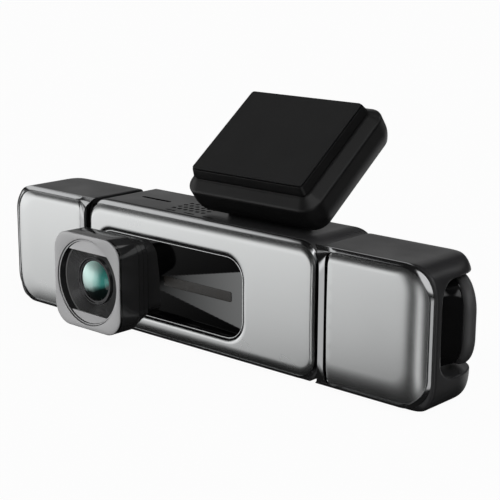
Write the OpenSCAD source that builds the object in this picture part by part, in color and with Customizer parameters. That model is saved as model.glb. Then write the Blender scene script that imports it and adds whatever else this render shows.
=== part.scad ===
// Windscreen dash camera: a long three-section bar with a square road camera
// on the front, a swivelling side camera in each end and a tilting adhesive
// mount on top. Millimetres. X runs along the bar, the road side faces -Y,
// Z is up and the underside of the bar sits on Z = 0.

/* [Bar] */
// half length of the centre section
centre_half = 54.3; // [50:0.1:60]
// height of the centre section
centre_h = 48.6; // [44:0.1:54]
// corner radius of the centre section seen from the front
centre_r = 8; // [5:0.5:12]
// depth of the bar behind the front plates
bar_depth = 31; // [28:0.1:36]
// half length of the whole bar
bar_half = 99.5; // [90:0.5:110]
// height of the two end pods
pod_h = 48; // [44:0.1:54]
// outer corner radius of the end pods seen from the front
pod_r = 12; // [8:0.5:15]
// radius of the pod end seen from above
pod_plan_r = 15; // [10:0.5:18]
// width of the dark groove between the sections
groove = 2.6; // [1.6:0.1:4]
// wall thickness of the shells
wall = 2; // [1.6:0.1:3]

/* [Front trim] */
// visible width of the bright frame round each plate
rim_w = 1.3; // [1:0.1:2.5]
// thickness of the front plates
plate_t = 2.4; // [1.5:0.1:3]
// right end of the recessed gloss panel
panel_x1 = 23.7; // [15:0.1:40]
// corner radius of the recessed gloss panel
panel_r = 8.5; // [5:0.5:12]

/* [Road camera] */
// centre of the road camera along the bar
cam_x = -32.8; // [-38:0.1:-28]
// height of the road camera axis
cam_z = 23.7; // [20:0.1:28]
// width and height of the square camera body
cam_w = 34.3; // [30:0.1:38]
// distance the camera stands out in front of the plates
cam_out = 20; // [14:0.5:26]
// corner radius of the camera body
cam_r = 7.5; // [5:0.5:10]
// radius of the road lens glass
lens_r = 7.1; // [5:0.1:9]

/* [Side cameras] */
// distance of the swivel axis from the middle of the bar
side_x = 86; // [82:0.1:90]
// depth of the swivel axis behind the plates
side_y = 16.2; // [13:0.1:20]
// radius of the swivel drum
drum_r = 11.4; // [10:0.1:13]
// resting direction of the side lens, degrees back from straight sideways
side_turn = 57; // [30:1:80]
// underside of the upper fork arm
fork_top = 42.5; // [40:0.1:45]
// top of the lower fork arm
fork_bottom = 11.5; // [8:0.1:14]

/* [Mount] */
// centre of the mount along the bar
mount_x = 21; // [0:0.5:30]
// width of the adhesive pad
pad_w = 48.6; // [40:0.1:60]
// length of the adhesive pad up the windscreen
pad_l = 39.1; // [30:0.1:50]
// tilt of the pad from horizontal
pad_tilt = 37; // [20:1:60]
// depth of the mount head from pad to underside
head_t = 18; // [14:0.5:24]
// width of the hinge neck
neck_w = 34; // [24:0.5:40]
// centre of the hinge neck along the bar
neck_x = 19.5; // [14:0.5:26]
// radius of the hinge pin
pin_r = 1.5; // [1:0.1:2.5]

/* [Rear] */
// width of the rear display glass
glass_w = 76; // [60:1:80]
// height of the rear display glass
glass_h = 41; // [36:0.5:44]
// radius of the two rear buttons
button_r = 4; // [3:0.1:5]

/* [Hidden] */
$fn = 64;
eps = 0.02;
front_y = plate_t + 0.1;
fork_mid = (fork_top + fork_bottom) / 2;
side_face = side_turn - 90;
pad_y = 2.84;
pad_z = 65.6;
tilt_c = cos(pad_tilt);
tilt_s = sin(pad_tilt);
hinge_v = 5;
hinge_t = 14;
hinge_y = pad_y + hinge_v * tilt_c + hinge_t * tilt_s;
hinge_z = pad_z + hinge_v * tilt_s - hinge_t * tilt_c;
slot_x = -33.1;
slot_y = 14.8;
grille_x = -18;
grille_y = 8.85;
grille_p = 2.87;
neck_front = 15.2;
neck_back = 20.2;
neck_screw_y = 17.8;
disp_x = -6;
disp_z = 24.3;
key_x = 41;
head_back = pad_y + (pad_l + 4.1) * tilt_c + (head_t - 1.2) * tilt_s;
mid_y = (head_back - cam_out) / 2;
screw_x = 49;

// ---- shared outlines ----

// puts the origin under the middle of the whole object
module placed() {
    translate([0, -mid_y, 0]) children();
}

// rounded rectangle with one radius per corner, named by low or high side
module rq(a0, a1, b0, b1, rll, rlh, rhl, rhh) {
    polygon([[a0 + rll, b0], [a1 - rhl, b0], [a1, b0 + rhl], [a1, b1 - rhh],
        [a1 - rhh, b1], [a0 + rlh, b1], [a0, b1 - rlh], [a0, b0 + rll]]);
    translate([a0 + rll, b0 + rll]) circle(r = rll);
    translate([a0 + rlh, b1 - rlh]) circle(r = rlh);
    translate([a1 - rhl, b0 + rhl]) circle(r = rhl);
    translate([a1 - rhh, b1 - rhh]) circle(r = rhh);
}

module rr(a0, a1, b0, b1, r) {
    rq(a0, a1, b0, b1, r, r, r, r);
}

// outline drawn as x,z and run from y0 to y1
module along_y(y0, y1) {
    translate([0, y1, 0])
        rotate([90, 0, 0])
            linear_extrude(y1 - y0) children();
}

// outline drawn as y,z and run from x0 to x1
module along_x(x0, x1) {
    translate([x0, 0, 0])
        rotate([90, 0, 90])
            linear_extrude(x1 - x0) children();
}

// block given by its two corners
module block(x0, x1, y0, y1, z0, z1) {
    translate([x0, y0, z0]) cube([x1 - x0, y1 - y0, z1 - z0]);
}

// cylinder along y
module rod_y(x, z, r, y0, y1) {
    translate([x, y1, z])
        rotate([90, 0, 0])
            cylinder(r = r, h = y1 - y0);
}

// ---- centre section ----

module centre_outer() {
    intersection() {
        along_y(front_y, bar_depth)
            rr(-centre_half, centre_half, 0, centre_h, centre_r);
        along_x(-centre_half - 1, centre_half + 1)
            rq(front_y, bar_depth, 0, centre_h, 4, 1, 3, 3);
    }
}

module centre_shell() {
    placed() {
        color([0.17, 0.17, 0.18])
        difference() {
            intersection() {
                centre_outer();
                block(-60, 60, 0, bar_depth - wall, -1, 60);
            }
            // inside space, open to the rear
            along_y(front_y + wall, bar_depth)
                rr(-centre_half + wall, centre_half - wall, wall + 0.2, centre_h - wall, 6);
            // window for the gloss panel
            along_y(0, front_y + wall + 1)
                rr(-50.6, panel_x1 + 0.1, 8, 38.8, panel_r + 0.1);
            // card slot
            translate([slot_x, slot_y, centre_h - 5])
                linear_extrude(10)
                    rr(-7.4, 7.4, -0.9, 0.9, 0.89);
            // speaker grille
            for (i = [0 : 5])
                for (j = [0 : 3])
                    translate([grille_x + i * grille_p, grille_y + j * 3.05, centre_h - 5])
                        cylinder(r = 0.9, h = 10);
            // heat slits near the front edge
            for (i = [0 : 2])
                translate([-15.9 + i * 9.05, 5.1, centre_h - 5])
                    linear_extrude(10)
                        rr(-2.5, 2.5, -0.5, 0.5, 0.49);
            // microphone hole
            translate([10, 8, -1]) cylinder(r = 0.6, h = 6);
            // screw holes for the mount neck
            for (s = [-1, 1])
                translate([neck_x + s * 8, neck_screw_y, centre_h - 6])
                    cylinder(r = 1.05, h = 12);
        }
        // screw bosses for the rear cover
        color([0.17, 0.17, 0.18])
        for (s = [-1, 1])
            for (z = [8.5, 40])
                difference() {
                    rod_y(s * screw_x, z, 2.6, front_y + wall - 0.05, bar_depth - wall);
                    rod_y(s * screw_x, z, 0.8, bar_depth - wall - 9, bar_depth);
                }
    }
}

module rear_cover() {
    placed() {
        color([0.12, 0.12, 0.13])
        difference() {
            intersection() {
                centre_outer();
                block(-60, 60, bar_depth - wall, bar_depth + 1, -1, 60);
            }
            // display window with a ledge for the glass
            along_y(0, 60)
                rr(disp_x - glass_w / 2 + 2, disp_x + glass_w / 2 - 2,
                    disp_z - glass_h / 2 + 2, disp_z + glass_h / 2 - 2, 1);
            along_y(bar_depth - 1, 60)
                rr(disp_x - glass_w / 2 - 0.1, disp_x + glass_w / 2 + 0.1,
                    disp_z - glass_h / 2 - 0.1, disp_z + glass_h / 2 + 0.1, 2.1);
            // button bores
            rod_y(key_x, 34, button_r + 0.35, 0, 60);
            rod_y(key_x, 22, button_r + 0.35, 0, 60);
            // opening for the power inlet
            along_y(0, 60)
                rr(key_x - 4.9, key_x + 4.9, 9.2, 12.8, 1.7);
            // screw holes and head seats
            for (s = [-1, 1])
                for (z = [8.5, 40]) {
                    rod_y(s * screw_x, z, 1.1, 0, 60);
                    rod_y(s * screw_x, z, 2.1, bar_depth - 1, 60);
                }
        }
    }
}

module rear_cover_screws() {
    placed() {
        color([0.35, 0.35, 0.37])
        for (s = [-1, 1])
            for (z = [8.5, 40])
                difference() {
                    union() {
                        rod_y(s * screw_x, z, 0.78, bar_depth - wall - 8, bar_depth - 1);
                        rod_y(s * screw_x, z, 1.9, bar_depth - 1, bar_depth - 0.15);
                    }
                    rod_y(s * screw_x, z, 0.7, bar_depth - 0.7, bar_depth + 1);
                }
    }
}

module centre_rim() {
    placed() {
        color([0.75, 0.76, 0.78])
        difference() {
            along_y(0.7, front_y)
                rr(-centre_half + 0.1, centre_half - 0.1, 1.7, centre_h - 0.3, centre_r - 0.3);
            along_y(0, 10)
                rr(-centre_half + 0.1 + rim_w, centre_half - 0.1 - rim_w, 1.7 + rim_w,
                    centre_h - 0.3 - rim_w, centre_r - 0.3 - rim_w);
        }
    }
}

module centre_plate_outline(inset) {
    a = centre_half - 0.2 - rim_w - inset;
    rr(-a, a, 1.8 + rim_w + inset, centre_h - 0.4 - rim_w - inset,
        centre_r - 0.4 - rim_w - inset);
}

module centre_plate() {
    placed() {
        color([0.72, 0.73, 0.75])
        difference() {
            union() {
                along_y(0.9, plate_t) centre_plate_outline(0);
                along_y(0.4, 1) centre_plate_outline(0.5);
                along_y(0, 0.5) centre_plate_outline(1.5);
            }
            along_y(-5, 5)
                rr(-50.5, panel_x1, 8.1, 38.7, panel_r);
        }
    }
}

module recess_panel() {
    placed() {
        color([0.03, 0.03, 0.04])
        difference() {
            along_y(0.3, front_y + wall - 0.1)
                rr(-50.4, panel_x1 - 0.1, 8.2, 38.6, panel_r - 0.1);
            along_y(-1, 2.3)
                rr(-49.5, panel_x1 - 1, 9.1, 37.7, panel_r - 1);
            // passage for the camera body
            along_y(-1, 10)
                rr(cam_x - 14.1, cam_x + 14.1, cam_z - 13.8, cam_z + 13.8, 5.1);
        }
    }
}

module blank_label_strip() {
    placed() {
        color([0.3, 0.26, 0.2])
        block(-16.7, 16.1, 2.2, 2.3, 21.4, 25);
    }
}

// ---- rear side and electronics ----

module display_glass() {
    placed() {
        color([0.02, 0.02, 0.03])
        along_y(bar_depth - 1, bar_depth)
            rr(disp_x - glass_w / 2, disp_x + glass_w / 2,
                disp_z - glass_h / 2, disp_z + glass_h / 2, 2);
    }
}

module display_panel() {
    placed() {
        color([0.2, 0.24, 0.3])
        block(disp_x - 35.5, disp_x + 35.5, bar_depth - 3.2, bar_depth - 1,
            disp_z - 18, disp_z + 18);
    }
}

module main_board() {
    placed() {
        color([0.1, 0.32, 0.18])
        block(-45, 45, 21, 22.6, 5, 44);
    }
}

module heat_spreader() {
    placed() {
        color([0.6, 0.61, 0.63])
        difference() {
            block(-18, 14, 16, 21, 9, 35);
            for (i = [0 : 6])
                block(-20 + i * 4.8 + 3, -20 + i * 4.8 + 5.4, 15, 19.5, 8, 36);
        }
    }
}

module supercapacitors() {
    placed() {
        color([0.15, 0.2, 0.4])
        for (i = [0, 1])
            translate([20 + i * 11, 16, 9])
                cylinder(r = 5, h = 21);
    }
}

module speaker() {
    placed() {
        color([0.1, 0.1, 0.11])
        translate([-10.8, 13.6, 41.4]) {
            difference() {
                cylinder(r = 6.4, h = 5);
                translate([0, 0, 3.5]) cylinder(r = 5.4, h = 5);
            }
            translate([0, 0, 3]) cylinder(r = 3, h = 1.4);
        }
    }
}

module microphone() {
    placed() {
        color([0.7, 0.6, 0.3])
        translate([10, 8, wall + 0.2]) cylinder(r = 2, h = 1.4);
    }
}

module gnss_antenna() {
    placed() {
        color([0.75, 0.72, 0.62])
        block(24, 42, 5.2, 15.2, 42.6, 46.4);
    }
}

module card_socket() {
    placed() {
        color([0.65, 0.66, 0.68])
        difference() {
            block(slot_x - 7, slot_x + 7, slot_y - 1.6, slot_y + 1.6, 28, 43.5);
            block(slot_x - 5.7, slot_x + 5.7, slot_y - 0.65, slot_y + 0.65, 29.5, 50);
        }
        color([0.65, 0.66, 0.68])
        block(slot_x - 7, slot_x + 7, slot_y + 1.6, 21, 28, 29.6);
    }
}

module memory_card() {
    placed() {
        color([0.05, 0.05, 0.06])
        block(slot_x - 5.5, slot_x + 5.5, slot_y - 0.5, slot_y + 0.5, 33.2, 48.2);
    }
}

module power_inlet() {
    placed() {
        color([0.7, 0.71, 0.73])
        difference() {
            along_y(22.6, bar_depth - 0.4)
                rr(key_x - 4.5, key_x + 4.5, 9.4, 12.6, 1.55);
            along_y(24, 60)
                rr(key_x - 4.1, key_x + 4.1, 9.8, 12.2, 1.15);
        }
        color([0.1, 0.1, 0.1])
        block(key_x - 3.2, key_x + 3.2, 22.7, 29, 10.65, 11.35);
    }
}

module rear_button(z) {
    color([0.1, 0.1, 0.11])
    union() {
        rod_y(key_x, z, button_r, bar_depth - wall - 1, bar_depth + 0.9);
        rod_y(key_x, z, button_r + 1, bar_depth - wall - 1.2, bar_depth - wall - 0.3);
        rod_y(key_x, z, 1.2, 24, bar_depth - wall - 1);
    }
}

module power_button() {
    placed() {
        rear_button(34);
    }
}

module record_button() {
    placed() {
        rear_button(22);
    }
}

// ---- road camera ----

module cam_square(inset, y0, y1) {
    h = cam_w / 2 - inset;
    along_y(y0, y1)
        rr(cam_x - h, cam_x + h, cam_z - h, cam_z + h, cam_r - inset * 0.6);
}

module road_camera_body() {
    placed() {
        color([0.03, 0.03, 0.035])
        difference() {
            union() {
                cam_square(0, 1.2 - cam_out, -10.6);
                cam_square(1.3, -10.7, -7.2);
                cam_square(2.2, -7.3, -4.2);
                cam_square(3.4, -4.3, front_y + wall);
            }
            // lens well, cone seat and barrel bore
            rod_y(cam_x, cam_z, 15.2, -cam_out, -14);
            rod_y(cam_x, cam_z, 7.3, -20, 10);
        }
    }
}

module road_camera_bezel() {
    placed() {
        color([0.62, 0.63, 0.65])
        difference() {
            cam_square(0, -cam_out, 1.2 - cam_out);
            rod_y(cam_x, cam_z, 15.6, -cam_out - 1, 0);
        }
    }
}

module bezel_segments() {
    placed() {
        color([0.6, 0.6, 0.6])
        difference() {
            rod_y(cam_x, cam_z, 14.9, 0.9 - cam_out, 1.6 - cam_out);
            block(cam_x - 20, cam_x + 20, -30, 0, cam_z - 10.8, cam_z + 10.8);
        }
    }
}

module ridged_cone() {
    placed() {
        color([0.1, 0.1, 0.11])
        translate([cam_x, 1.6 - cam_out, cam_z])
            rotate([-90, 0, 0])
                difference() {
                    cylinder(r = 15.1, h = 4.4);
                    translate([0, 0, -eps])
                        cylinder(r1 = 14.2, r2 = 8.9, h = 3);
                    translate([0, 0, -1])
                        cylinder(r = 8.65, h = 6);
                    for (i = [0 : 3])
                        translate([0, 0, 0.35 + i * 0.6])
                            cylinder(r = 13.9 - i * 1.06, h = 0.3);
                }
    }
}

module road_lens_ring() {
    placed() {
        color([0.2, 0.2, 0.21])
        difference() {
            rod_y(cam_x, cam_z, 8.6, -16.6, -14);
            rod_y(cam_x, cam_z, lens_r + 0.05, -20, -10);
        }
    }
}

module lens_cap(r, big, edge) {
    // convex cap with a short cylindrical edge, bulging toward -z
    intersection() {
        translate([0, 0, sqrt(big * big - r * r)]) sphere(r = big);
        translate([0, 0, -10]) cylinder(r = r, h = 10 + edge);
    }
}

module road_lens_glass() {
    placed() {
        color([0.35, 0.75, 0.65])
        translate([cam_x, -15.6, cam_z])
            rotate([-90, 0, 0])
                lens_cap(lens_r, 12, 1.6);
    }
}

module road_lens_barrel() {
    placed() {
        color([0.08, 0.08, 0.09])
        difference() {
            union() {
                rod_y(cam_x, cam_z, 7.2, -14, 3);
                rod_y(cam_x, cam_z, 5.6, 2.9, 7);
            }
            rod_y(cam_x, cam_z, 5, -20, 0);
            rod_y(cam_x, cam_z, 3.4, -20, 10);
        }
    }
}

module road_sensor_board() {
    placed() {
        color([0.1, 0.32, 0.18])
        block(cam_x - 11, cam_x + 11, 7, 8.4, cam_z - 11, cam_z + 11);
    }
}

// ---- right end pod; the left one is its mirror image ----

// rounded box the size of the centre section, grown by the groove
module groove_cutter(extra) {
    along_y(-30, 60)
        rr(-centre_half - extra, centre_half + extra, -extra, centre_h + extra,
            centre_r + extra);
}

module pod_outer() {
    intersection() {
        along_y(front_y, bar_depth - 0.4)
            rq(40, bar_half, 0, pod_h, 1, 1, pod_r, pod_r);
        along_x(40, 120)
            rq(front_y, bar_depth - 0.4, 0, pod_h, 4, 1, 3, 3);
        translate([0, 0, -1])
            linear_extrude(60)
                rq(40, bar_half, front_y - 10, bar_depth - 0.4, 1, 1, 1, pod_plan_r);
    }
}

module pod_housing() {
    color([0.15, 0.15, 0.16])
    difference() {
        pod_outer();
        groove_cutter(groove);
        // space behind the plate
        block(50, 66, front_y + wall, bar_depth - 3, 3, pod_h - 3);
        // room for the swivelling camera
        intersection() {
            translate([side_x, side_y, fork_bottom])
                cylinder(r = 17, h = fork_top - fork_bottom);
            block(60, 120, 4.4, 60, 0, 60);
        }
        // pin bores in the fork arms
        translate([side_x, side_y, fork_bottom - 5])
            cylinder(r = 2.5, h = fork_top - fork_bottom + 9);
    }
}

module pod_rim() {
    color([0.75, 0.76, 0.78])
    difference() {
        along_y(0.7, front_y)
            rq(45, bar_half - 0.6, 1.7, pod_h - 0.1, 1, 1, pod_r - 0.4, pod_r - 0.4);
        groove_cutter(groove + 0.1);
        along_y(0, 10)
            rq(59, bar_half - 2.4, 1.7 + rim_w, pod_h - 0.1 - rim_w, 3.6, 3.6,
                pod_r - 1.9, pod_r - 1.9);
    }
}

module pod_plate_outline(inset) {
    rq(59.1 + inset, bar_half - 2.5 - inset, 1.8 + rim_w + inset,
        pod_h - 0.2 - rim_w - inset, 3.5 - inset, 3.5 - inset,
        pod_r - 2 - inset, pod_r - 2 - inset);
}

module pod_plate() {
    color([0.72, 0.73, 0.75])
    union() {
        along_y(0.9, plate_t) pod_plate_outline(0);
        along_y(0.4, 1) pod_plate_outline(0.5);
        along_y(0, 0.5) pod_plate_outline(1.5);
    }
}

module joint_collar() {
    // tube that ties the pod to the centre section at the bottom of the groove
    color([0.08, 0.08, 0.085])
    difference() {
        along_x(centre_half, centre_half + groove + 4)
            rr(front_y + wall, bar_depth - 3, 3, pod_h - 3, 5);
        along_x(centre_half - 1, centre_half + groove + 5)
            rr(front_y + wall + 3, bar_depth - 6, 6, pod_h - 6, 3);
    }
}

// local frame of the side camera: lens looks along +y, swivel axis is z
module at_side() {
    translate([side_x, side_y, fork_mid])
        rotate([0, 0, side_face])
            children();
}

module side_square(inset, y0, y1, hw) {
    along_y(y0, y1)
        rr(-hw + inset, hw - inset, -15 + inset, 15 - inset, 10 - inset);
}

module camera_drum() {
    color([0.05, 0.05, 0.055])
    at_side()
        difference() {
            union() {
                rotate_extrude()
                    intersection() {
                        rr(-drum_r, drum_r, -15, 15, 3);
                        translate([0, -20]) square([40, 40]);
                    }
                side_square(0.5, 0, 6.5, 11.6);
            }
            // flat seat for the bezel
            block(-20, 20, 6.5, 30, -20, 20);
            // pin bores, wire way and sensor pocket
            translate([0, 0, -16]) cylinder(r = 2.55, h = 6);
            translate([0, 0, 10]) cylinder(r = 2.55, h = 6);
            block(-6.5, 6.5, 2.5, 7, -6.5, 6.5);
            block(-4, 4, -4, 3, -6, 6);
        }
}

module camera_bezel() {
    color([0.13, 0.13, 0.14])
    at_side()
        difference() {
            union() {
                side_square(0, 6.5, 11, 12);
                side_square(0.9, 10.9, 12, 12);
            }
            rod_y(0, 0, 8, 9.5, 20);
            rod_y(0, 0, 5.2, 0, 20);
            for (a = [-1, 1])
                for (b = [-1, 1])
                    rod_y(a * 7, b * 9.6, 1.5, 10.5, 20);
        }
}

module side_lens_ring() {
    color([0.3, 0.3, 0.32])
    at_side()
        difference() {
            rod_y(0, 0, 7.9, 9.5, 11.4);
            rod_y(0, 0, 5.05, 0, 20);
        }
}

module side_lens_glass() {
    color([0.25, 0.35, 0.5])
    at_side()
        translate([0, 10.6, 0])
            rotate([90, 0, 0])
                lens_cap(5, 8, 3);
}

module infrared_leds() {
    color([0.25, 0.02, 0.05])
    at_side()
        for (a = [-1, 1])
            for (b = [-1, 1])
                rod_y(a * 7, b * 9.6, 1.45, 10.5, 11.7);
}

module side_sensor_board() {
    color([0.1, 0.32, 0.18])
    at_side()
        block(-6.2, 6.2, 3, 4.2, -6.2, 6.2);
}

module swivel_pins() {
    color([0.6, 0.61, 0.63])
    translate([side_x, side_y, 0]) {
        translate([0, 0, fork_top - 3.6]) cylinder(r = 2.5, h = 7.6);
        translate([0, 0, fork_bottom - 5]) cylinder(r = 2.5, h = 8.6);
    }
}

module swivel_washers() {
    color([0.2, 0.2, 0.2])
    translate([side_x, side_y, 0])
        for (z = [fork_top - 0.4, fork_bottom])
            translate([0, 0, z])
                difference() {
                    cylinder(r = 5, h = 0.4);
                    translate([0, 0, -1]) cylinder(r = 2.52, h = 3);
                }
}

module left_side() {
    mirror([1, 0, 0]) children();
}

module right_joint_collar() {
    placed() joint_collar();
}

module right_pod_housing() {
    placed() pod_housing();
}

module right_pod_rim() {
    placed() pod_rim();
}

module right_pod_plate() {
    placed() pod_plate();
}

module right_camera_drum() {
    placed() camera_drum();
}

module right_camera_bezel() {
    placed() camera_bezel();
}

module right_lens_ring() {
    placed() side_lens_ring();
}

module right_lens_glass() {
    placed() side_lens_glass();
}

module right_infrared_leds() {
    placed() infrared_leds();
}

module right_sensor_board() {
    placed() side_sensor_board();
}

module right_swivel_pins() {
    placed() swivel_pins();
}

module right_swivel_washers() {
    placed() swivel_washers();
}

module left_joint_collar() {
    placed() left_side() joint_collar();
}

module left_pod_housing() {
    placed() left_side() pod_housing();
}

module left_pod_rim() {
    placed() left_side() pod_rim();
}

module left_pod_plate() {
    placed() left_side() pod_plate();
}

module left_camera_drum() {
    placed() left_side() camera_drum();
}

module left_camera_bezel() {
    placed() left_side() camera_bezel();
}

module left_lens_ring() {
    placed() left_side() side_lens_ring();
}

module left_lens_glass() {
    placed() left_side() side_lens_glass();
}

module left_infrared_leds() {
    placed() left_side() infrared_leds();
}

module left_sensor_board() {
    placed() left_side() side_sensor_board();
}

module left_swivel_pins() {
    placed() left_side() swivel_pins();
}

module left_swivel_washers() {
    placed() left_side() swivel_washers();
}

// ---- windscreen mount ----

// head frame: x along the bar, y up the windscreen, z out of the pad face
module at_pad() {
    translate([mount_x, pad_y, pad_z])
        rotate([pad_tilt, 0, 0])
            children();
}

// flat block in the head frame with a corner radius, from depth t1 up to t0
module head_layer(grow, t0, t1, r) {
    translate([0, 0, -t1])
        linear_extrude(t1 - t0)
            rr(-pad_w / 2 - grow, pad_w / 2 + grow, -grow, pad_l + grow, r);
}

module mount_neck() {
    placed() {
        color([0.06, 0.06, 0.065])
        difference() {
            union() {
                along_x(neck_x - neck_w / 2, neck_x + neck_w / 2) {
                    translate([hinge_y, hinge_z]) circle(r = 4.4);
                    polygon([[neck_front, centre_h], [neck_back, centre_h], [neck_back, hinge_z - 3],
                        [18.6, hinge_z + 1.5], [hinge_y, hinge_z + 2], [hinge_y - 0.04, hinge_z - 2],
                        [neck_front, hinge_z - 3]]);
                }
                // foot on the deck
                translate([0, 0, centre_h])
                    linear_extrude(1.2)
                        rr(neck_x - neck_w / 2, neck_x + neck_w / 2, neck_front - 0.1, 24, 2);
            }
            // hinge bore
            translate([neck_x - 30, hinge_y, hinge_z])
                rotate([0, 90, 0])
                    cylinder(r = pin_r + 0.05, h = 60);
            // screw pilots
            for (s = [-1, 1])
                translate([neck_x + s * 8, neck_screw_y, centre_h - 1])
                    cylinder(r = 0.8, h = 6);
        }
    }
}

module mount_neck_screws() {
    placed() {
        color([0.35, 0.35, 0.37])
        for (s = [-1, 1])
            translate([neck_x + s * 8, neck_screw_y, 0]) {
                translate([0, 0, centre_h - wall - 0.9]) cylinder(r = 2, h = 0.9);
                translate([0, 0, centre_h - wall - 0.1]) cylinder(r = 0.78, h = 6);
            }
    }
}

module hinge_pin() {
    placed() {
        color([0.6, 0.61, 0.63])
        translate([neck_x - neck_w / 2 - 3.4, hinge_y, hinge_z])
            rotate([0, 90, 0])
                cylinder(r = pin_r, h = neck_w + 6.8);
    }
}

module hinge_washers() {
    placed() {
        color([0.3, 0.3, 0.3])
        for (s = [-1, 1])
            translate([neck_x + s * (neck_w / 2 + 0.25), hinge_y, hinge_z])
                rotate([0, 90, 0])
                    translate([0, 0, -0.2])
                        difference() {
                            cylinder(r = 3.6, h = 0.4);
                            translate([0, 0, -1]) cylinder(r = pin_r + 0.02, h = 3);
                        }
    }
}

module mount_head() {
    placed() {
        color([0.07, 0.07, 0.075])
        difference() {
            at_pad()
                difference() {
                    union() {
                        head_layer(1.9, 3.9, 5, 3);
                        head_layer(3, 4.9, 6, 3.5);
                        head_layer(4.2, 5.9, 7.1, 4);
                        head_layer(4.9, 7, head_t - 2.6, 4.5);
                        head_layer(4.1, head_t - 2.7, head_t - 1.2, 4);
                        head_layer(2.9, head_t - 1.3, head_t, 3.5);
                    }
                    // hollow inside, open to the pad plate
                    translate([-pad_w / 2 + 1, 16.5, -head_t + 2.4])
                        cube([pad_w - 2, pad_l - 17.5, head_t]);
                    // slot for the hinge neck
                    translate([neck_x - mount_x - neck_w / 2 - 0.5, -0.4, -head_t - 5])
                        cube([neck_w + 1, 13.8, 14.1]);
                }
            translate([neck_x - neck_w / 2 - 3.5, hinge_y, hinge_z])
                rotate([0, 90, 0])
                    cylinder(r = pin_r, h = neck_w + 7);
        }
    }
}

module mount_pad_plate() {
    placed() {
        color([0.06, 0.06, 0.065])
        at_pad() {
            head_layer(1, 2.6, 3.9, 1.8);
            head_layer(0.7, 1.5, 2.7, 1.5);
            head_layer(0.3, 0.7, 1.6, 1.2);
        }
    }
}

module adhesive_pad() {
    placed() {
        color([0.09, 0.09, 0.1])
        at_pad()
            head_layer(0, 0, 0.7, 1);
    }
}

centre_shell();
rear_cover();
rear_cover_screws();
centre_rim();
centre_plate();
recess_panel();
blank_label_strip();
display_glass();
display_panel();
main_board();
heat_spreader();
supercapacitors();
speaker();
microphone();
gnss_antenna();
card_socket();
memory_card();
power_inlet();
power_button();
record_button();
road_camera_body();
road_camera_bezel();
bezel_segments();
ridged_cone();
road_lens_ring();
road_lens_glass();
road_lens_barrel();
road_sensor_board();
right_joint_collar();
right_pod_housing();
right_pod_rim();
right_pod_plate();
right_camera_drum();
right_camera_bezel();
right_lens_ring();
right_lens_glass();
right_infrared_leds();
right_sensor_board();
right_swivel_pins();
right_swivel_washers();
left_joint_collar();
left_pod_housing();
left_pod_rim();
left_pod_plate();
left_camera_drum();
left_camera_bezel();
left_lens_ring();
left_lens_glass();
left_infrared_leds();
left_sensor_board();
left_swivel_pins();
left_swivel_washers();
mount_neck();
mount_neck_screws();
hinge_pin();
hinge_washers();
mount_head();
mount_pad_plate();
adhesive_pad();
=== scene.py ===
import math

import bmesh
import bpy
import numpy as np
from mathutils import Matrix, Vector
from mathutils.geometry import delaunay_2d_cdt


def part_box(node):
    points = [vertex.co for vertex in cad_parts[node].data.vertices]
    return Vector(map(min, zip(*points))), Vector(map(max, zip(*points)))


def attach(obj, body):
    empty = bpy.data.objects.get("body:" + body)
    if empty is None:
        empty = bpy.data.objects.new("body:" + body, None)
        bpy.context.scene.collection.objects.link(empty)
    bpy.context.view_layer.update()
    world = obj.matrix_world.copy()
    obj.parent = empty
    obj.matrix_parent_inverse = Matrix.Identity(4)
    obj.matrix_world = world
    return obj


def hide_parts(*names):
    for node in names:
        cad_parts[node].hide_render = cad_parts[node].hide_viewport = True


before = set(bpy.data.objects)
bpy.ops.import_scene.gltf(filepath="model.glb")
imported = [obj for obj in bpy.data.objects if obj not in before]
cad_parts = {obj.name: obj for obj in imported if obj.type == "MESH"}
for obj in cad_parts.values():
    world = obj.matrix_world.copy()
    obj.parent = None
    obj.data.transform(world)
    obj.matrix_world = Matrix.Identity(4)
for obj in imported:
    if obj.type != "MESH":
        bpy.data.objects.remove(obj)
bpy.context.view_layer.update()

# Shapes are written in millimetres, with y = 0 on the front plates' plane,
# x along the bar and z up from its underside.
MM = 0.001
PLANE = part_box("centre_plate")[0].y
CENTRE_HALF, CENTRE_H, CENTRE_R = 54.3, 48.6, 8  # centre section: half length, height, corners
POD_END, POD_H = 99.5, 48.0  # end pods: where they end along x, and their height
CAM_X, CAM_Z = -32.8, 23.7  # the road camera's axis
SIDE = Vector((86, 16.2, 27))  # centre of the right side camera; the left one is its mirror image
SIDE_FACE = math.radians(-33)  # how far its face is turned about z
PAD = Vector((21, 2.84, 65.6))  # middle of the adhesive pad's front edge
PAD_TILT = math.radians(37)  # the pad's slope from level
PAD_W, PAD_L = 48.6, 39.1
NECK_X, NECK_W = 19.5, 34  # middle and width of the mount's neck
BAR, HEAD = "camera_bar", "mount_head_unit"  # the two bodies that hold most of the pieces
MERGE = 1e-7  # metres; points closer than this become one
FACE_STEP = 1.6  # size of the triangles that fill the front plates
SIDE_STEPS = 24  # steps along each straight side of the plates' outlines
CAM_POINTS = 160  # points round each ring of the road camera's body

# The edges of the block that holds the deck's vent holes, where their shade is painted: axis, two
# places along it in millimetres, and the mask's value at each.
VENT_SHADE_EDGES = (("Z", 48.35, 48.5, 1, 0), ("Y", 4.3, 4.5, 0, 1), ("Y", 27.6, 27.8, 1, 0),
              ("X", -45.2, -45, 0, 1), ("X", 45, 45.2, 1, 0))


# ---------------------------------------------------------------- materials

def node(tree, kind, **values):
    """New node; a value goes to the input of its name, or else to the node's own setting."""
    n = tree.nodes.new(kind)
    for key, value in values.items():
        if key in n.inputs:
            n.inputs[key].default_value = value
        else:
            setattr(n, key, value)
    return n


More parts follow.
